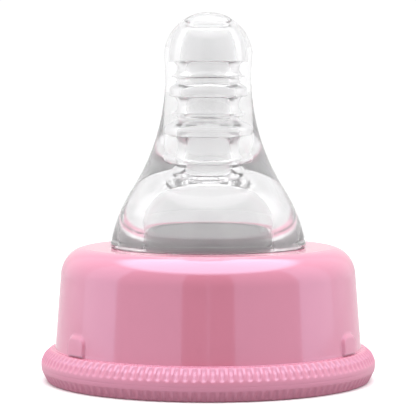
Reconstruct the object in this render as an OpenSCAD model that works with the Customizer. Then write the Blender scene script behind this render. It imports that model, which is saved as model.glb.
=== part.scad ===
// Screw collar, teat and sealing disc of a feeding bottle. The collar has a fluted flange
// and an inside thread, the clear teat snaps into the collar's hole from below, and the
// disc lies under the teat's foot, where the bottle's rim would press it.
// Millimetres, +Z up. The origin is on the axis, in the plane that the collar stands on.

/* [Collar] */
// Largest diameter, across the flange
flange_d = 45.2; // [44.6:0.1:46]
// Height of the flange, up to the crease where the skirt starts
flange_h = 4.4; // [4.2:0.1:4.8]
// Diameter of the skirt just above the crease
skirt_d = 41.4; // [41:0.1:42]
// Height of the collar
collar_h = 18; // [17.8:0.1:18.6]
// How far the skirt leans inwards for each millimetre of height
skirt_draft = 0.077; // [0.06:0.001:0.085]
// Height of the rounded shoulder
shoulder_h = 3.9; // [3.4:0.1:4.2]
// Width of the rounded shoulder
shoulder_w = 3.5; // [3:0.1:4]
// Thickness of the collar's top plate
plate_t = 1.5; // [1.4:0.1:1.6]
// Diameter of the hole that holds the teat
hole_d = 25.8; // [25.6:0.1:26]

/* [Flutes] */
// Number of flutes round the flange, in each of the two rows
flutes = 120; // [60:10:130]
// Depth of a flute
flute_depth = 0.2; // [0.15:0.01:0.25]
// Width of a flute
flute_w = 0.8; // [0.6:0.05:0.85]
// Height of the lower edge of the plain band between the rows
band_low = 1.5; // [1.3:0.05:1.7]
// Height of the upper edge of the plain band
band_high = 2.6; // [2.4:0.05:2.8]

/* [Lugs] */
// Number of raised pads round the foot of the skirt
lugs = 3; // [2:1:6]
// Width of a pad
lug_w = 4.4; // [3:0.1:6]
// Height of a pad above the crease
lug_h = 2.8; // [2.2:0.1:3.4]
// How far a pad stands out of the skirt
lug_proud = 0.4; // [0.3:0.05:0.5]
// Direction of the first pad, from +X towards +Y
lug_turn = 213.5; // [0:0.5:360]

/* [Thread] */
// Inner diameter of the collar, between the thread's turns
bore_d = 37.4; // [37.2:0.1:37.6]
// Diameter at the thread's crest
crest_d = 35.6; // [35.4:0.1:35.8]
// Diameter of the plain mouth below the thread
lead_d = 37.9; // [37.7:0.1:38.1]
// Height of the plain mouth
lead_z = 3.4; // [3.2:0.1:3.5]
// Rise of the thread in one turn
pitch = 3.6; // [3.4:0.1:3.8]
// Number of turns
turns = 1.75; // [1.25:0.25:1.75]
// Height of the thread's profile at its crest
crest_w = 0.7; // [0.5:0.1:0.9]
// Height of the thread's profile at its root
root_w = 1.7; // [1.5:0.1:2]
// Height of the start of the thread above the open end
thread_z = 4.4; // [4.2:0.1:4.6]

/* [Teat] */
// Height of the tip above the plane that the collar stands on
tip_z = 49.6; // [49.4:0.1:50]
// Radius of the rounded tip
tip_r = 6; // [5.9:0.05:6.1]
// Radius of the neck just under the tip
neck_r = 5.8; // [5.7:0.05:5.85]
// Radius of the long hollow curve down the neck
sweep_r = 28.1; // [28:0.1:28.4]
// Radius of the round curve under it
belly_r = 20.4; // [20.2:0.1:20.8]
// Angle at which the hollow curve turns into the round one
turn_angle = 32.7; // [32.5:0.1:32.9]
// Diameter of the feed hole in the tip
feed_d = 0.8; // [0.6:0.1:1.2]

/* [Teat inside] */
// Radius of the inside at the foot
mouth_r = 8.9; // [8.6:0.1:9]
// Height at which the straight inside turns into its dome
dome_z = 20; // [19.8:0.1:20.2]
// Height of the whole dome, if the neck didn't open it
dome_h = 7.8; // [7.6:0.1:8]
// Radius of the passage between the chambers of the neck
rib_r = 2.95; // [2.9:0.05:3]
// Radius of the lower chamber
lower_r = 4.3; // [4:0.05:4.4]
// Height of the lower chamber's floor
lower_floor = 32.6; // [32.4:0.1:32.8]
// Radius of the middle chamber
middle_r = 3.75; // [3.6:0.05:3.8]
// Height of the middle chamber's floor
middle_floor = 38.1; // [38:0.1:38.3]
// Radius of the upper chamber
upper_r = 3.8; // [3.6:0.05:3.9]
// Height of the upper chamber's floor
upper_floor = 43; // [42.8:0.1:43.2]
// Radius of the small domed chamber behind the tip
tip_chamber_r = 2.5; // [2.3:0.1:2.6]
// Radius of the lowest of the three thin slots between the chambers
slot_r = 4.4; // [4.2:0.05:4.4]

/* [Teat foot] */
// Radius of the flange that the bottle's rim presses
foot_r = 17.2; // [16.8:0.1:17.3]
// Thickness of the flange
foot_t = 2; // [1.8:0.1:2.2]
// Radius of the bead that snaps over the edge of the collar's hole
bead_r = 13.2; // [13.1:0.05:13.3]
// Height of the bead above the collar's top
bead_h = 0.9; // [0.8:0.05:1]
// Clearance between the teat and the hole, on the radius and on each face of the plate
snap_gap = 0.08; // [0.06:0.01:0.1]

/* [Disc] */
// Radius of the sealing disc
disc_r = 18.2; // [18:0.1:18.3]
// Thickness of the disc
disc_t = 1.2; // [1:0.1:1.3]
// Radius of the raised middle that plugs the teat's mouth
plug_r = 8.5; // [8:0.1:8.55]
// Height of the raised middle above the disc's face
plug_h = 5.1; // [4.8:0.1:5.2]

/* [Hidden] */

COLLAR_PINK = [0.93, 0.60, 0.73];
CLEAR_TEAT = [0.90, 0.90, 0.91, 0.5];
DISC_WHITE = [0.86, 0.86, 0.85];

flange_r = flange_d / 2;
skirt_r = skirt_d / 2;
shoulder_z = collar_h - shoulder_h;
shoulder_r = skirt_r - skirt_draft * (shoulder_z - flange_h);
bore_r = bore_d / 2;
lead_r = lead_d / 2;
crest_r = crest_d / 2;
hole_r = hole_d / 2;
plate_z = collar_h - plate_t;
foot_top = plate_z - snap_gap;
foot_z = foot_top - foot_t;
groove_r = hole_r - snap_gap;
throat_r = 2.15;
throat_z = upper_floor + 3.85;
thread_steps = 28;
flute_lean_low = 25;
flute_lean_high = 20;
rest_gap = 0.05;

// Points along an arc round [cx, cz], from angle a0 to angle a1
function arc(cx, cz, r, a0, a1, n = 10) =
    [for (i = [0:n]) let (a = a0 + (a1 - a0) * i / n) [cx + r * cos(a), cz + r * sin(a)]];

// The same for an ellipse of half-width rx and half-height rz
function oval(cx, cz, rx, rz, a0, a1, n = 10) =
    [for (i = [0:n]) let (a = a0 + (a1 - a0) * i / n) [cx + rx * cos(a), cz + rz * sin(a)]];

module ring_of(n, start = 0) {
    for (i = [0:n - 1]) rotate([0, 0, start + 360 * i / n]) children();
}

// ---- collar ----

module collar_body() {
    rotate_extrude($fn = 180)
        polygon(concat(
            [[lead_r + 0.3, 0], [flange_r - 1.1, 0], [flange_r - 0.7, 0.12]],
            [[flange_r - 0.05, band_low], [flange_r, band_low + 0.3], [flange_r, band_high]],
            oval(flange_r - 1.3, band_high, 1.3, flange_h - band_high - 0.1, 10, 80, 7),
            [[flange_r - 1.5, flange_h - 0.05], [skirt_r + 0.1, flange_h], [skirt_r, flange_h + 0.1]],
            oval(shoulder_r - shoulder_w, shoulder_z, shoulder_w, shoulder_h, 0, 90, 14),
            [[hole_r + 0.2, collar_h], [hole_r, collar_h - 0.2], [hole_r, plate_z]],
            [[bore_r - 0.8, plate_z], [bore_r, plate_z - 0.8]],
            [[bore_r, lead_z + lead_r - bore_r], [lead_r, lead_z], [lead_r, 0.3]]));
}

// What cuts one flute: a slot that runs up from its rounded lower end
module flute_slot() {
    r = flute_w / 2;
    rotate([90, 0, 90]) linear_extrude(2)
        polygon([[-r, flange_h], [-r, 0.8 * r], [-0.5 * r, 0], [0.5 * r, 0], [r, 0.8 * r], [r, flange_h]]);
}

// One flute of the upper row, leaning in over the flange's round top
module upper_flute() {
    translate([flange_r - flute_depth, 0, band_high])
        rotate([0, -flute_lean_high, 0]) flute_slot();
}

// One flute of the lower row, leaning in to the edge that the collar stands on
module lower_flute() {
    translate([flange_r - flute_depth, 0, band_low])
        rotate([0, flute_lean_low, 0]) mirror([0, 0, 1]) flute_slot();
}

// A raised pad with round upper corners, from the crease up
module lug() {
    corner = 1;
    reach = skirt_r + lug_proud;
    intersection() {
        translate([skirt_r - 1.2, 0, 0]) rotate([90, 0, 90])
            linear_extrude(3)
                polygon(concat(
                    [[-lug_w / 2, flange_h - 0.2], [lug_w / 2, flange_h - 0.2]],
                    arc(lug_w / 2 - corner, flange_h + lug_h - corner, corner, 0, 90, 5),
                    arc(corner - lug_w / 2, flange_h + lug_h - corner, corner, 90, 180, 5)));
        translate([0, 0, flange_h - 0.2])
            cylinder(r1 = reach, r2 = reach - skirt_draft * (lug_h + 0.4), h = lug_h + 0.4, $fn = 180);
    }
}

// Section of the thread's ridge at step i, as four points in the plane of the axis
function ridge_section(i) =
    let (turn = i / thread_steps,
         a = 360 * turn,
         z = thread_z + pitch * turn,
         fade = min(1, 6 * min(turn, turns - turn) + 0.05),
         top = bore_r - (bore_r - crest_r) * fade,
         root = bore_r + 0.25)
    [for (p = [[root, -root_w / 2], [top, -crest_w / 2], [top, crest_w / 2], [root, root_w / 2]])
        [p[0] * cos(a), p[0] * sin(a), z + p[1]]];

module thread_ridge() {
    n = thread_steps * turns;
    points = [for (i = [0:n], p = ridge_section(i)) p];
    sides = [for (i = [0:n - 1], k = [0:3]) let (a = 4 * i + k, b = 4 * i + (k + 1) % 4)
        each [[a, b + 4, b], [a, a + 4, b + 4]]];
    last = 4 * n;
    polyhedron(points, concat([[1, 2, 3], [0, 1, 3]], sides,
        [[last + 2, last + 1, last], [last + 3, last + 2, last]]));
}

module collar() {
    color(COLLAR_PINK) {
        difference() {
            collar_body();
            ring_of(flutes) {
                upper_flute();
                lower_flute();
            }
        }
        ring_of(lugs, lug_turn) lug();
        thread_ridge();
    }
}

// ---- teat ----

// Outside of the teat from the tip down to the bead, as points of the half section
function teat_outside() =
    let (waist_z = tip_z - tip_r - 2.6,
         turn_r = neck_r + sweep_r * (1 - cos(turn_angle)),
         turn_z = waist_z - sweep_r * sin(turn_angle),
         belly_cr = turn_r - belly_r * cos(turn_angle),
         belly_cz = turn_z - belly_r * sin(turn_angle),
         belly_end = asin((collar_h + bead_h - belly_cz) / belly_r))
    concat(
        arc(0, tip_z - tip_r, tip_r, 86, 4, 16),
        arc(neck_r + sweep_r, waist_z, sweep_r, 180, 180 + turn_angle, 14),
        arc(belly_cr, belly_cz, belly_r, turn_angle, belly_end, 12));

// Bead, groove and foot, from the top of the bead down to the mouth
function teat_foot() =
    [[bead_r - 0.05, collar_h + bead_h - 0.1], [bead_r, collar_h + bead_h / 2],
     [bead_r - 0.1, collar_h + snap_gap], [groove_r, collar_h + snap_gap],
     [groove_r, foot_top], [foot_r - 0.3, foot_top], [foot_r, foot_top - 0.3],
     [foot_r, foot_z + 0.3], [foot_r - 0.3, foot_z]];

// A bell-shaped chamber with a flat floor. It is widest a little above the floor and
// closes to top_r at its top.
function bell(r, floor_z, widest, top, top_r) =
    let (end = acos(top_r / r))
    concat([[rib_r, floor_z], [r - 0.1, floor_z], [r, floor_z + 0.1]],
        oval(0, floor_z + widest, r, (top - widest) / sin(end), 0, end, 7));

// A thin slot between two chambers, w high, starting at height z
function slot(r, z, w) = [[rib_r, z - 0.05], [r, z], [r, z + w], [rib_r, z + w + 0.05]];

// Inside of the teat from the mouth up to the chamber behind the tip
function teat_inside() =
    concat(
        [[mouth_r + 0.4, foot_z], [mouth_r, foot_z + 0.4]],
        oval(0, dome_z, mouth_r, dome_h, 0, 66, 14),
        [[rib_r + 0.25, lower_floor - 4.7]],
        slot(slot_r, lower_floor - 4, 0.6),
        bell(lower_r, lower_floor, 0.7, 1.9, 3.45),
        [[rib_r, lower_floor + 2.1]],
        slot(slot_r - 0.8, middle_floor - 2.7, 0.4),
        bell(middle_r, middle_floor, 0.8, 1.9, 3),
        slot(slot_r - 0.9, upper_floor - 2.1, 0.25),
        bell(upper_r, upper_floor, 0.4, 3.8, 2.77),
        [[throat_r, throat_z], [throat_r, throat_z + 0.45]],
        oval(0, throat_z + 0.55, tip_chamber_r, 1.2, 0, 80, 7),
        [[0, throat_z + 1.75]]);

module teat() {
    color(CLEAR_TEAT)
        difference() {
            rotate_extrude($fn = 180)
                polygon(concat([[0, tip_z]], teat_outside(), teat_foot(), teat_inside()));
            translate([0, 0, 46]) cylinder(d = feed_d, h = 5, $fn = 24);
        }
}

// ---- disc ----

module disc() {
    top = foot_z - rest_gap;
    color(DISC_WHITE)
        rotate_extrude($fn = 180)
            polygon([[0, top + plug_h - 0.3], [plug_r - 1.4, top + plug_h - 0.3],
                [plug_r - 0.8, top + plug_h], [plug_r - 0.3, top + plug_h - 0.2],
                [plug_r, top + plug_h - 0.6], [plug_r, top], [disc_r - 0.3, top],
                [disc_r, top - 0.3], [disc_r, top - disc_t + 0.3], [disc_r - 0.3, top - disc_t],
                [plug_r - 1, top - disc_t], [plug_r - 1, top + plug_h - 1.4], [0, top + plug_h - 1.4]]);
}

collar();
teat();
disc();
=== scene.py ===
# %% [markdown]
# # A screw collar with a clear silicone teat
# This lesson dresses a small assembly that was drawn in CAD: a pink screw collar, the clear
# teat that snaps into it, and a disc, darkened to grey as painted shade, that plugs the
# teat's mouth. The CAD solids say where everything is and how big it is. Here each piece
# is built again as a dense, smooth mesh of the same size, with a finish chosen to look like
# the plastic or silicone.
# We load the CAD frame first and note its box, because nothing we make may leave that box.

# %% Load the frame
import math

import bmesh
import bpy
import numpy as np
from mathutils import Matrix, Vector


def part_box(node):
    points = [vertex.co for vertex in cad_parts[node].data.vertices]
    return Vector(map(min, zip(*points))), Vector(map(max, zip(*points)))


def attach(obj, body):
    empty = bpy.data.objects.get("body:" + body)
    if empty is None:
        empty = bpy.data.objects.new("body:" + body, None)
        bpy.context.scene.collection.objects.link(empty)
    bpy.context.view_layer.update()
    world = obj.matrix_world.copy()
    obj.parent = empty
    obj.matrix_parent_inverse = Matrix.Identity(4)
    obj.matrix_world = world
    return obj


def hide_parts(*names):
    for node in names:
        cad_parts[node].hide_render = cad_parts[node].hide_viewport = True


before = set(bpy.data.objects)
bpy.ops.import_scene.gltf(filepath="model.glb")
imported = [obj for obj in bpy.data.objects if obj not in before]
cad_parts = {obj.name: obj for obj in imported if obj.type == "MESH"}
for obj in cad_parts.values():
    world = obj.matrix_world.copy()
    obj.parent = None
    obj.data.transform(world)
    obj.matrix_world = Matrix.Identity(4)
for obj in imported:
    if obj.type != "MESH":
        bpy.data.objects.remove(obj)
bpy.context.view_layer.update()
MM = 0.001
collar_low, collar_high = (np.array(corner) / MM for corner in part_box("collar"))
teat_low, teat_high = (np.array(corner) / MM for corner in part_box("teat"))
disc_low, disc_high = (np.array(corner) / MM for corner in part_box("disc"))
print("collar", collar_low, collar_high)
print("teat", teat_low, teat_high)
print("disc", disc_low, disc_high)

# %% [markdown]
# ## The camera
# The object is small and was looked at from about 30 cm, just above its middle. A long lens
# keeps the sides of the collar nearly parallel. We aim at a point on the axis and let
# Blender work out the rotation, which is easier to read than three angles.

# %% Place the camera
CAMERA_DISTANCE = 300
CAMERA_HEIGHT = 42.2
AIM_HEIGHT = 23.2
SIDE_STEP = -0.03
PICTURE_MM = 56.08

camera_data = bpy.data.cameras.new("camera")
camera_data.sensor_width = 36
camera_data.lens = 36 * CAMERA_DISTANCE / PICTURE_MM
camera_data.clip_start = 0.01
camera = bpy.data.objects.new("camera", camera_data)
bpy.context.scene.collection.objects.link(camera)
eye = Vector((SIDE_STEP, -CAMERA_DISTANCE, CAMERA_HEIGHT)) * MM
aim = Vector((SIDE_STEP, 0, AIM_HEIGHT)) * MM
camera.location = eye
camera.rotation_mode = "QUATERNION"
camera.rotation_quaternion = (aim - eye).to_track_quat("-Z", "Y")
bpy.context.scene.camera = camera
print("lens", round(camera_data.lens, 1), "mm")

# %% [markdown]
# ## Half sections
# All three pieces are round, so each starts as a half section: a closed line of (radius,
# height) points that turns round the axis. Corners on moulded plastic are never sharp, so
# one helper rounds any corner we give a radius, and two more make arcs and ovals.

# %% Helpers for half sections
def oval(centre_r, centre_z, half_w, half_h, start, end, steps):
    """Points along an oval, or along a circle where both halves are equal."""
    turns = np.radians(np.linspace(start, end, steps + 1))
    return [(centre_r + half_w * math.cos(t), centre_z + half_h * math.sin(t)) for t in turns]


def rounded(points, steps=4):
    """The same line with an arc at each point that has a third number, its corner radius."""
    line = []
    for i, point in enumerate(points):
        if len(point) < 3 or i in (0, len(points) - 1):
            line.append(tuple(point[:2]))
            continue
        before, corner, after = (np.array(p[:2], float) for p in points[i - 1:i + 2])
        to_before, to_after = before - corner, after - corner
        room = 0.49 * min(np.linalg.norm(to_before), np.linalg.norm(to_after))
        to_before /= np.linalg.norm(to_before)
        to_after /= np.linalg.norm(to_after)
        half = math.acos(np.clip(to_before @ to_after, -1, 1)) / 2
        if half > 1.55:
            line.append(tuple(corner))
            continue
        reach = min(room, point[2] / math.tan(half))
        for t in np.linspace(0, 1, steps + 1):
            a = corner + to_before * reach * (1 - t)
            b = corner + to_after * reach * t
            line.append(tuple(a * (1 - t) + b * t))
    return line


def refined(line, longest):
    """The same line with extra points, so that no stretch is longer than that."""
    out = [line[0]]
    for start, end in zip(line, line[1:]):
        parts = max(1, math.ceil(math.dist(start, end) / longest))
        for k in range(1, parts + 1):
            out.append(tuple(np.array(start) + (np.array(end) - np.array(start)) * k / parts))
    return out


print("quarter round:", len(rounded([(0, 0), (1, 0, 0.5), (1, 1)])), "points")

# %% [markdown]
# ## From section to skin
# A screw modifier could turn the section, but then the flutes, the pads and the thread
# would need booleans, which leave ragged shading. Instead we lay rings of points one above
# another and pull single points in or out. Rings with more points are used only where
# there is small detail, and a coarse ring joins a fine one with little fans of triangles.

# %% Build a closed skin from rings
def skin(name, rings):
    """A closed mesh from rings of points (columns, 3) in mm, each joined to the next."""
    starts = np.cumsum([0] + [len(ring) for ring in rings])
    faces = []
    for lower in range(len(rings)):
        upper = (lower + 1) % len(rings)
        n_low, n_up = len(rings[lower]), len(rings[upper])
        low, up = starts[lower], starts[upper]
        if n_low == n_up:
            k = np.arange(n_low)
            n = (k + 1) % n_low
            faces += np.stack([low + k, low + n, up + n, up + k], axis=1).tolist()
            continue
        fine, coarse = (up, low) if n_low < n_up else (low, up)
        n_fine, n_coarse = max(n_low, n_up), min(n_low, n_up)
        ratio = n_fine // n_coarse
        shared = (ratio + 1) // 2
        for k in range(n_coarse):
            near, far = coarse + k, coarse + (k + 1) % n_coarse
            edge = [fine + (k * ratio + step) % n_fine for step in range(ratio + 1)]
            faces += [[edge[i], edge[i + 1], near if i < shared else far] for i in range(ratio)]
            faces.append([near, edge[shared], far])
    mesh = bpy.data.meshes.new(name)
    mesh.from_pydata((np.concatenate(rings) * MM).tolist(), [], faces)
    mesh.validate()
    return mesh


def ring(radius, height, columns):
    """One ring. Columns is a number or the angles, and radius may be a function of those."""
    angle = np.arange(columns) * 2 * math.pi / columns if isinstance(columns, int) else columns
    r = radius(angle) if callable(radius) else np.full(len(angle), float(radius))
    z = np.full(len(angle), float(height))
    return np.stack([r * np.cos(angle), r * np.sin(angle), z], axis=1)


def piece(mesh, sharp_angle):
    """An object from a mesh, with its faces turned outwards and smooth up to that angle."""
    work = bmesh.new()
    work.from_mesh(mesh)
    bmesh.ops.recalc_face_normals(work, faces=work.faces)
    open_edges = sum(not edge.is_manifold for edge in work.edges)
    work.to_mesh(mesh)
    work.free()
    mesh.shade_smooth()
    mesh.set_sharp_from_angle(angle=math.radians(sharp_angle))
    obj = bpy.data.objects.new(mesh.name, mesh)
    bpy.context.scene.collection.objects.link(obj)
    triangles = sum(len(p.vertices) - 2 for p in mesh.polygons)
    print(mesh.name, triangles, "triangles,", open_edges, "open edges")
    return obj


# %% [markdown]
# ## The collar's outside
# The flange has two rows of flutes, 120 in each, with a plain band between them. A flute is
# a shallow U-shaped channel with a round end at the band. The upper row runs on over the
# rounded edge of the flange, where it has to cut down as well as in. The skirt above leans in
# slightly, because the part has to leave its mould, and three rounded pads stand on its foot.
# We describe each as a depth at an angle and a height. Columns of points stand closer
# together at the walls of a flute than on its floor, which keeps the walls crisp.

# %% Shape of the collar's outside
FLUTES = 120
FLUTE_DEPTH = 0.18
FLUTE_WALL = (0.14, 0.32)
BAND_LOW = 1.5
BAND_HIGH = 2.6
FLANGE_TOP = 4.4
PARTING_Z = 2.0
PARTING_DEPTH = 0.025
PARTING_W = 0.05
flange_r = min(collar_high[:2])
skirt_r = 20.7
DRAFT = 0.077
SHOULDER_H = 3.9
SHOULDER_W = 3.5
HOLE_R = 12.9
PLATE_T = 1.5
BORE_R = 18.7
LEAD_R = 18.95
LEAD_Z = 3.4
ACROSS = np.array([0, 0.14, 0.22, 0.32, 0.5, 0.68, 0.78, 0.86])
FINE = ((np.arange(FLUTES)[:, None] + ACROSS) * 2 * math.pi / FLUTES).ravel()
COARSE = len(FINE) // 3
collar_top = collar_high[2]
plate_z = collar_top - PLATE_T
shoulder_z = collar_top - SHOULDER_H
shoulder_r = skirt_r - DRAFT * (shoulder_z - FLANGE_TOP)


def smooth_step(value, start, end):
    """0 before start, 1 after end, with a soft change between; start may be the larger."""
    t = np.clip((value - start) / (end - start), 0, 1)
    return t * t * (3 - 2 * t)


def flute_cut(angle, height, radius):
    """How deep the flutes cut at a height, for each angle."""
    pitch = 2 * math.pi * radius / FLUTES
    from_ridge = 0.5 - np.abs((angle * FLUTES / (2 * math.pi)) % 1 - 0.5)
    if height < BAND_LOW:
        past_end, fade = BAND_LOW - height, smooth_step(height, 0.05, 0.5)
    elif height > BAND_HIGH:
        past_end, fade = height - BAND_HIGH, smooth_step(height, FLANGE_TOP + 0.08, FLANGE_TOP - 0.5)
    else:
        return np.zeros_like(angle)
    end = 0.5 - FLUTE_WALL[0]
    along = np.clip(end - past_end / pitch, 0, end)
    from_middle = np.hypot(0.5 - from_ridge, along)
    return FLUTE_DEPTH * fade * smooth_step(0.5 - from_middle, *FLUTE_WALL)


LUG_AZIMUTHS = (213.5, 333.5, 93.5)
LUG_HALF_W = 2.15
LUG_H = 2.8
LUG_PROUD = 0.4
LUG_CORNER = 1.3
LUG_EDGE = (-0.38, 0.05)
RING_STEP = 0.28
LUG_STEP = 0.2


def lug_rise(angle, height):
    """How far the pads stand out at a height, for each angle."""
    rise = np.zeros_like(angle)
    for azimuth in LUG_AZIMUTHS:
        apart = (angle - math.radians(azimuth) + math.pi) % (2 * math.pi) - math.pi
        side = np.abs(apart) * skirt_r - (LUG_HALF_W - LUG_CORNER)
        over = height - (FLANGE_TOP + LUG_H - LUG_CORNER)
        outside = np.hypot(np.maximum(side, 0), max(over, 0)) - LUG_CORNER
        rise = np.maximum(rise, LUG_PROUD * (1 - smooth_step(outside, *LUG_EDGE)))
    return rise


def outside_rings():
    """Rings from the open end up over the shoulder to the edge of the hole."""
    flange = rounded([
        (LEAD_R + 0.3, 0), (flange_r - 0.85, 0, 0.35), (flange_r - 0.08, BAND_LOW, 0.5),
        (flange_r, PARTING_Z, 0.6), (flange_r, BAND_HIGH + 0.1, 1.4),
        (flange_r - 0.42, FLANGE_TOP - 0.78, 0.9), (flange_r - 1.25, FLANGE_TOP - 0.03, 0.5),
        (skirt_r, FLANGE_TOP, 0.2), (skirt_r, FLANGE_TOP + 0.2)], 4)
    rings = []
    for r, z in refined(flange, RING_STEP):
        line = PARTING_DEPTH * math.exp(-((z - PARTING_Z) / PARTING_W) ** 2)
        cut = flute_cut(FINE, z, r)
        band = ring(r - line, z, FINE)
        band[:, :2] *= ((r - line - cut) / (r - line))[:, None]
        band[:, 2] -= cut * smooth_step(z, BAND_HIGH + 0.2, FLANGE_TOP - 0.5)
        rings.append(band)
    for z in np.arange(FLANGE_TOP + 0.3, FLANGE_TOP + LUG_H + 0.3, LUG_STEP):
        r = skirt_r - DRAFT * (z - FLANGE_TOP)
        rings.append(ring(lambda a, r=r, z=z: r + lug_rise(a, z), z, FINE))
    start = FLANGE_TOP + LUG_H + 0.4
    for z in np.linspace(start, shoulder_z, 5, endpoint=False):
        rings.append(ring(skirt_r - DRAFT * (z - FLANGE_TOP), z, COARSE))
    for r, z in oval(shoulder_r - SHOULDER_W, shoulder_z, SHOULDER_W, SHOULDER_H, 0, 90, 24):
        rings.append(ring(r, z, COARSE))
    hole = rounded([(HOLE_R + 1.2, collar_top), (HOLE_R, collar_top, 0.22), (HOLE_R, plate_z)], 5)
    rings += [ring(r, z, COARSE) for r, z in hole]
    return rings


print("skirt leans from", skirt_r, "to", round(shoulder_r, 2), "mm")

# %% [markdown]
# ## The collar's inside
# Inside are the flat underside of the top plate, the bore and the thread that grips the
# bottle. A thread is easiest as a ridge that rises out of the bore wherever the height is
# near the helix, so we move the bore's own points instead of laying a second body on it.

# %% Shape of the collar's inside
CREST_R = 17.8
THREAD_PITCH = 3.6
THREAD_TURNS = 1.75
THREAD_Z = 4.4
CREST_W = 0.7
ROOT_W = 1.6
THREAD_STEP = 0.24


def thread_rise(angle, height):
    """How far the thread stands in from the bore at a height, for each angle."""
    rise = np.zeros_like(angle)
    for whole in range(math.ceil(THREAD_TURNS)):
        turn = angle / (2 * math.pi) + whole
        along = np.minimum(turn, THREAD_TURNS - turn)
        fade = np.clip(6 * along + 0.05, 0, 1) * (along > 0)
        off = np.abs(height - THREAD_Z - THREAD_PITCH * turn)
        flank = 1 - smooth_step(off, CREST_W / 2, ROOT_W / 2)
        rise = np.maximum(rise, (BORE_R - CREST_R) * fade * flank)
    return rise


def inside_rings():
    """Rings from the hole's lower edge down the bore to the open end."""
    plate = rounded([(HOLE_R + 0.3, plate_z), (BORE_R, plate_z, 0.8), (BORE_R, plate_z - 1.2)], 6)
    rings = [ring(r, z, COARSE) for r, z in plate]
    for z in np.arange(plate_z - 1.5, LEAD_Z + 0.35, -THREAD_STEP):
        rings.append(ring(lambda a, z=z: BORE_R - thread_rise(a, z), z, COARSE))
    lead = [(BORE_R, LEAD_Z + 0.25), (LEAD_R, LEAD_Z), (LEAD_R, LEAD_Z / 2), (LEAD_R, 0.3)]
    return rings + [ring(r, z, COARSE) for r, z in lead]


collar = piece(skin("screw_collar", outside_rings() + inside_rings()), 60)
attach(collar, "collar")
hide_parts("collar")

# %% [markdown]
# ## The teat's outside
# From the side the teat is a string of arcs that meet without a corner: a ball for the tip,
# a long hollow sweep down the neck, and a round belly. We work out where they touch, so
# that a light line runs down the silicone without a kink. Under the belly come the bead,
# the groove that holds the collar's plate, and the flat foot.

# %% Shape of the teat's outside
TIP_R = 6.0
NECK_R = 5.8
SWEEP_R = 28.1
BELLY_R = 20.4
TURN = 32.7
WAIST_DROP = 2.6
FEED_R = 0.4
BEAD_R = 13.2
BEAD_H = 0.9
SNAP_GAP = 0.08
tip_z = 49.6
foot_r = min(teat_high[:2])
foot_z = teat_low[2]
foot_top = plate_z - SNAP_GAP
groove_r = HOLE_R - SNAP_GAP


def teat_outside():
    """Half section from the feed hole down to the foot."""
    waist_z = tip_z - TIP_R - WAIST_DROP
    turn_r = NECK_R + SWEEP_R * (1 - math.cos(math.radians(TURN)))
    turn_z = waist_z - SWEEP_R * math.sin(math.radians(TURN))
    belly_r = turn_r - BELLY_R * math.cos(math.radians(TURN))
    belly_z = turn_z - BELLY_R * math.sin(math.radians(TURN))
    belly_end = math.degrees(math.asin((collar_top + BEAD_H - belly_z) / BELLY_R))
    line = oval(0, tip_z - TIP_R, TIP_R, TIP_R, 86, 5, 34)
    line += oval(NECK_R + SWEEP_R, waist_z, SWEEP_R, SWEEP_R, 180, 180 + TURN, 40)
    line += oval(belly_r, belly_z, BELLY_R, BELLY_R, TURN, belly_end, 26)[1:]
    line += rounded([
        line[-1], (BEAD_R - 0.05, collar_top + BEAD_H - 0.08, 0.1),
        (BEAD_R, collar_top + 0.45, 0.2), (BEAD_R - 0.12, collar_top + SNAP_GAP, 0.12),
        (groove_r, collar_top + SNAP_GAP, 0.1), (groove_r, foot_top, 0.2),
        (foot_r, foot_top, 0.35), (foot_r, foot_z, 0.35), (foot_r - 3, foot_z)], 5)[1:]
    return line


# %% [markdown]
# ## The teat's inside
# The rings seen in the neck are chambers cut into the inside of a thick wall: a milk
# passage that widens again and again, so that the neck can stretch like a concertina. Each
# chamber is a bell with a flat floor, because the core that moulds it must pull out of the
# soft rubber. Between the bells are thin slots, and the mouth is a straight bore under a
# dome. Every corner shows through the clear wall as a line, so their radii matter. The ribs
# left between the hollows bulge a little, since straight ones show as hard upright lines.

# %% Shape of the teat's inside
MOUTH_R = 8.9
DOME_Z = 20.0
DOME_H = 7.8
RIB_R = 2.95
RIDGE = 0.35
BELLS = {"lower": (4.3, 32.6, 33.3, 34.5, 3.45), "middle": (3.75, 38.1, 38.9, 40.0, 3.0),
         "upper": (3.8, 43.0, 43.4, 46.8, 2.77)}
SLOTS = {"lower": (4.4, 28.6, 29.2), "middle": (3.6, 35.4, 35.8), "upper": (3.5, 40.9, 41.15)}
RIBS = ((29.2, 32.6), (34.6, 35.4), (35.8, 38.1), (40.05, 40.9), (41.15, 43.0))
THROAT_R = 2.15
THROAT_TOP = 47.3
TIP_CHAMBER_R = 2.5


def bell(name):
    """A chamber: radius, floor height, height where it is widest, top height, top radius."""
    r, floor_z, widest, top, top_r = BELLS[name]
    end = math.acos(top_r / r)
    wall = oval(0, widest, r, (top - widest) / math.sin(end), 0, math.degrees(end), 14)
    return [(RIB_R + RIDGE, floor_z, 0.2), (r, floor_z, 0.12)] + wall


def slot(name):
    """A thin slot: radius, floor height, ceiling height."""
    r, low, high = SLOTS[name]
    edge = RIB_R + RIDGE
    return [(edge, low, 0.1), (r, low, 0.08), (r, high, 0.08), (edge, high, 0.1)]


def ridge(low, high):
    """A rib bulges into the passage, and is narrowest half way up."""
    steps = np.linspace(-1, 1, 7)[1:-1]
    middle, half = (low + high) / 2, (high - low) / 2
    return [(RIB_R + RIDGE * t * t, middle + half * t) for t in steps]


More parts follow.
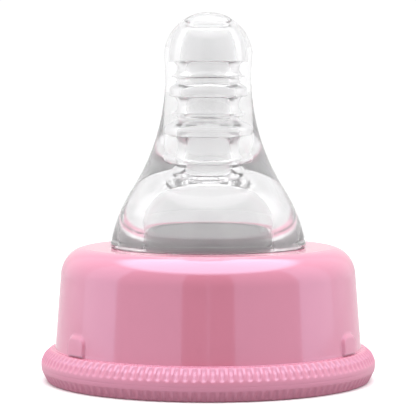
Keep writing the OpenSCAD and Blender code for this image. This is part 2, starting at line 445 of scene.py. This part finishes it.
def teat_inside():
    """Half section from the foot up through the chambers to the feed hole."""
    points = [(MOUTH_R + 2, foot_z), (MOUTH_R, foot_z, 0.4), (MOUTH_R, DOME_Z - 1)]
    points += oval(0, DOME_Z, MOUTH_R, DOME_H, 0, 66, 26)
    ribs = [ridge(*rib) for rib in RIBS]
    points += [(RIB_R + 0.25, 27.9, 0.3)] + slot("lower") + ribs[0] + bell("lower")
    points += ribs[1] + slot("middle") + ribs[2] + bell("middle")
    points += ribs[3] + slot("upper") + ribs[4] + bell("upper")
    points += [(THROAT_R, 46.85, 0.1), (THROAT_R, THROAT_TOP, 0.1)]
    points += oval(0, THROAT_TOP + 0.1, TIP_CHAMBER_R, 1.2, 0, 82, 10)
    return rounded(points + [(FEED_R, THROAT_TOP + 1.3)], 6)


TEAT_COLUMNS = 224
teat_line = refined(teat_outside() + teat_inside(), 0.9)
teat = piece(skin("silicone_teat", [ring(r, z, TEAT_COLUMNS) for r, z in teat_line]), 70)
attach(teat, "teat")
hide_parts("teat")

# %% [markdown]
# ## The sealing disc
# A flat rim under the teat's foot with a raised middle that plugs the mouth. It is one
# thin moulding, hollow from below, so we give it an even wall and round its edges.

# %% Shape of the disc
DISC_T = 1.2
PLUG_R = 8.5
DISC_COLUMNS = 192
disc_r = min(disc_high[:2])
disc_face = disc_low[2] + DISC_T
plug_top = disc_high[2]


def disc_section():
    """Closed half section of the disc, but for the tiny hole that the axis closes."""
    upper = [(0.01, plug_top - 0.3), (PLUG_R - 1.3, plug_top - 0.3, 0.3),
             (PLUG_R - 0.8, plug_top, 0.2), (PLUG_R - 0.1, plug_top - 0.1, 0.25),
             (PLUG_R, plug_top - 0.7, 0.3), (PLUG_R, disc_face, 0.25)]
    rim = [(disc_r, disc_face, 0.25), (disc_r, disc_face - DISC_T, 0.25)]
    lower = [(PLUG_R - 1, disc_face - DISC_T, 0.3), (PLUG_R - 1, plug_top - 1.4, 0.4),
             (0.01, plug_top - 1.4)]
    return rounded(upper + rim + lower, 5)


disc_line = refined(disc_section(), 1.5)
disc = piece(skin("sealing_disc", [ring(r, z, DISC_COLUMNS) for r, z in disc_line]), 50)
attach(disc, "disc")
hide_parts("disc")

# %% [markdown]
# ## Writing shaders as sums
# Node trees are hard to read as code. One small class wraps a socket and lets us write
# ordinary expressions: each plus, minus or times adds its Math node. Any other node comes
# from one method that takes the node's type, its settings and its sockets.

# %% A small shader notebook
class Wire:
    """A socket in a node tree, with arithmetic on it."""

    def __init__(self, tree, socket):
        self.tree = tree
        self.socket = socket

    def node(self, kind, settings=None, out=0, **sockets):
        """Adds a node of that type, with its settings first and then values or links."""
        return add_node(self.tree, kind, settings, out, **sockets)

    def math(self, operation, a, b=0.0):
        return self.node("ShaderNodeMath", {"operation": operation}, _0=a, _1=b)

    def __add__(self, other):
        return self.math("ADD", self, other)

    __radd__ = __add__

    def __sub__(self, other):
        return self.math("SUBTRACT", self, other)

    def __rsub__(self, other):
        return self.math("SUBTRACT", other, self)

    def __mul__(self, other):
        return self.math("MULTIPLY", self, other)

    __rmul__ = __mul__

    def split(self, axis):
        """The x, y or z of a vector, as number 0, 1 or 2."""
        return self.node("ShaderNodeSeparateXYZ", out=axis, Vector=self)

    def between(self, start, end):
        """0 before start and 1 after end, with a soft change between."""
        return self.node("ShaderNodeMapRange", {"interpolation_type": "SMOOTHSTEP"},
                         Value=self, From_Min=start, From_Max=end)


def add_node(tree, kind, settings=None, out=0, **sockets):
    """A new node. Socket names use _ for a space, and _0, _1 mean a socket's number."""
    node = tree.nodes.new(kind)
    for key, value in (settings or {}).items():
        setattr(node, key, value)
    for key, value in sockets.items():
        name = int(key[1:]) if key[1:].isdigit() and key[0] == "_" else key.replace("_", " ")
        socket = node.inputs[name]
        if isinstance(value, Wire):
            tree.links.new(value.socket, socket)
        else:
            socket.default_value = value
    return Wire(tree, node.outputs[out])


def finish(name):
    """An empty material: its tree and its Principled shader."""
    material = bpy.data.materials.new(name)
    material.use_nodes = True
    return material, material.node_tree, material.node_tree.nodes["Principled BSDF"]


def blend_colours(tree, factor, first, second):
    """A colour between two others."""
    return add_node(tree, "ShaderNodeMix", {"data_type": "RGBA"}, 2,
                    _0=factor, _6=first, _7=second)


def feed(tree, shader, **inputs):
    """Links wires into the shader's sockets and sets plain values on the others."""
    for key, value in inputs.items():
        socket = shader.inputs[key.replace("_", " ")]
        if isinstance(value, Wire):
            tree.links.new(value.socket, socket)
        else:
            socket.default_value = value


# %% [markdown]
# ## Pink polypropylene
# The collar is one moulding, but not one finish. The skirt came off a polished steel mould
# and mirrors the room; the fluted flange has a satin surface that hides finger marks. Both
# carry a faint waviness from shrinkage. The height over the open end tells them apart. The
# flange's pink is also a little darker, which is painted shade. The index of 2.1 and the
# bluish tint are chosen: plain polypropylene has 1.49, and a pearly pigment would mirror
# more and cooler light than that.

# %% The collar's finish
PINK = (0.70, 0.244, 0.340, 1)
PINK_DEEP = (0.67, 0.230, 0.322, 1)
# painted shade: the flange's pink is a little darker than the skirt's
PINK_FLANGE_PAINTED_SHADE = (0.68, 0.230, 0.325, 1)

collar_material, tree, shader = finish("pink_polypropylene")
place = add_node(tree, "ShaderNodeTexCoord", out=3)
flange_mask = place.split(2).between((FLANGE_TOP + 0.15) * MM, (FLANGE_TOP - 0.15) * MM)
cloud = add_node(tree, "ShaderNodeTexNoise", Vector=place, Scale=90.0, Detail=3.0)
grain = add_node(tree, "ShaderNodeTexNoise", Vector=place, Scale=5200.0, Detail=2.0)
wave = add_node(tree, "ShaderNodeTexNoise", Vector=place, Scale=140.0, Detail=1.0)
colour = blend_colours(tree, cloud, PINK, PINK_DEEP)
# painted shade: the flange gets the darker pink
colour = blend_colours(tree, flange_mask, colour, PINK_FLANGE_PAINTED_SHADE)
roughness = 0.07 + 0.03 * cloud + flange_mask * (0.26 + 0.1 * grain)
texture = wave * (1 - flange_mask) + grain * flange_mask
bump = add_node(tree, "ShaderNodeBump", Height=texture, Strength=0.12, Distance=0.00003)
feed(tree, shader, Base_Color=colour, Roughness=roughness, Normal=bump, IOR=2.1,
     Specular_Tint=(0.62, 0.74, 1.0, 1))
collar.data.materials.append(collar_material)

# %% [markdown]
# ## Clear silicone
# Silicone bends light less than glass does, with an index of 1.41. It is never quite
# clear: some of the light scatters, which makes thick places look milky. The part of the
# foot that sits in the collar gets a satin finish, mixed in by distance from the axis and by
# height. That is a guess, and it keeps most of the collar's pink from showing through.

# %% The teat's finish
teat_material, tree, shader = finish("clear_silicone")
place = add_node(tree, "ShaderNodeTexCoord", out=3)
haze = add_node(tree, "ShaderNodeTexNoise", Vector=place, Scale=160.0, Detail=3.0)
skin_wave = add_node(tree, "ShaderNodeTexNoise", Vector=place, Scale=260.0, Detail=2.0)
clear_colour = blend_colours(tree, haze, (0.93, 0.93, 0.94, 1), (0.97, 0.97, 0.97, 1))
bump = add_node(tree, "ShaderNodeBump", Height=skin_wave, Strength=0.15, Distance=0.00003)
feed(tree, shader, Base_Color=clear_colour, Roughness=0.02 + 0.03 * haze, Normal=bump,
     IOR=1.41, Transmission_Weight=0.88)
frosted = add_node(tree, "ShaderNodeBsdfPrincipled", Base_Color=(0.85, 0.85, 0.85, 1),
                   Roughness=0.5, IOR=1.41, Transmission_Weight=0.3)
east, north, height = (place.split(axis) for axis in range(3))
across = east.math("SQRT", east * east + north * north)
foot_mask = across.between((MOUTH_R + 0.5) * MM, (MOUTH_R + 0.9) * MM)
foot_mask = foot_mask * height.between((collar_top + 0.15) * MM, (collar_top + 0.05) * MM)
clear = Wire(tree, shader.outputs[0])
both = add_node(tree, "ShaderNodeMixShader", _0=foot_mask, _1=clear, _2=frosted)
tree.links.new(both.socket, tree.nodes["Material Output"].inputs["Surface"])
teat.data.materials.append(teat_material)

# %% [markdown]
# ## Polypropylene with painted shade
# The disc's satin face scatters light, with a fine grain. Its grey is chosen for the tone it
# gives when seen through the teat, and is painted shade: the disc is darkened to stand in
# for the shade it sits in under the collar.

# %% The disc's finish
disc_material, tree, shader = finish("disc_polypropylene_painted_shade")
place = add_node(tree, "ShaderNodeTexCoord", out=3)
mottle = add_node(tree, "ShaderNodeTexNoise", Vector=place, Scale=300.0, Detail=4.0)
fine_grain = add_node(tree, "ShaderNodeTexNoise", Vector=place, Scale=6000.0, Detail=1.0)
# painted shade: the disc's grey is darkened for the shade inside the collar
disc_painted_shade_grey = blend_colours(tree, mottle, (0.33, 0.33, 0.33, 1), (0.38, 0.38, 0.38, 1))
bump = add_node(tree, "ShaderNodeBump", Height=fine_grain, Strength=0.1, Distance=0.00003)
feed(tree, shader, Base_Color=disc_painted_shade_grey, Roughness=0.38 + 0.1 * mottle, Normal=bump, IOR=1.5)
disc.data.materials.append(disc_material)

# %% [markdown]
# ## Floor and light
# A clear object needs something bright behind it, and a glossy one needs large soft lamps
# with dark between them, or it has no shape. We paint both into the world: tall soft boxes
# beside the camera and beside the object, a bright backdrop, a soft overhead lamp, and a dark
# gap in front. Two things here aren't physical. The backdrop is brighter to the camera than
# to the object, and the floor is paler, since a pale floor seen through the silicone would
# wash it out.

# %% The floor
FLOOR_SIZE = 0.25
floor_mesh = bpy.data.meshes.new("floor")
corners = [(-FLOOR_SIZE, -FLOOR_SIZE, 0), (FLOOR_SIZE, -FLOOR_SIZE, 0),
           (FLOOR_SIZE, FLOOR_SIZE, 0), (-FLOOR_SIZE, FLOOR_SIZE, 0)]
floor_mesh.from_pydata(corners, [], [(0, 1, 2, 3)])
floor = bpy.data.objects.new("floor", floor_mesh)
bpy.context.scene.collection.objects.link(floor)
floor_material, tree, shader = finish("pale_floor")
looked_at = add_node(tree, "ShaderNodeLightPath", out=0)
paper = blend_colours(tree, looked_at, (0.48, 0.48, 0.48, 1), (0.95, 0.95, 0.95, 1))
feed(tree, shader, Base_Color=paper, Roughness=0.7)
floor_mesh.materials.append(floor_material)

# %% The light
PANELS = (
    # from and to azimuth off the camera, from and to elevation, strength, softness
    (0, 20, -90, 44, 0.12, 2),
    (20, 71, -12, 46, 0.68, 1),
    (74, 110, -12, 46, 1.45, 1),
    (110, 152, -90, 46, 1.15, 3),
    (150, 190, -90, 46, 0.93, 3),
    (-10, 190, 50, 91, 3.5, 6),
)
ROOM = 0.8
BACKDROP_SEEN = 1.05

world = bpy.data.worlds.new("studio")
bpy.context.scene.world = world
world.use_nodes = True
tree = world.node_tree
tree.nodes.clear()
direction = add_node(tree, "ShaderNodeTexCoord", out=0)
x, y, z = (direction.split(axis) for axis in range(3))
azimuth = x.math("ABSOLUTE", x.math("ARCTAN2", x, y * -1.0))
elevation = z.math("ARCSINE", z)
strength = z * 0.0 + ROOM
for az_from, az_to, el_from, el_to, level, soft in PANELS:
    edges = [(azimuth, az_from, 1), (azimuth, az_to, -1), (elevation, el_from, 1),
             (elevation, el_to, -1)]
    mask = 1.0
    for value, edge, way in edges:
        blur = soft * way
        mask = mask * value.between(math.radians(edge - blur), math.radians(edge + blur))
    strength = strength + mask * (level - strength)
seen = add_node(tree, "ShaderNodeLightPath", out=0)
strength = strength + seen * (BACKDROP_SEEN - strength)
background = add_node(tree, "ShaderNodeBackground", Color=(1, 1, 1, 1), Strength=strength)
output = tree.nodes.new("ShaderNodeOutputWorld")
tree.links.new(background.socket, output.inputs["Surface"])
bpy.context.scene.view_settings.view_transform = "Standard"
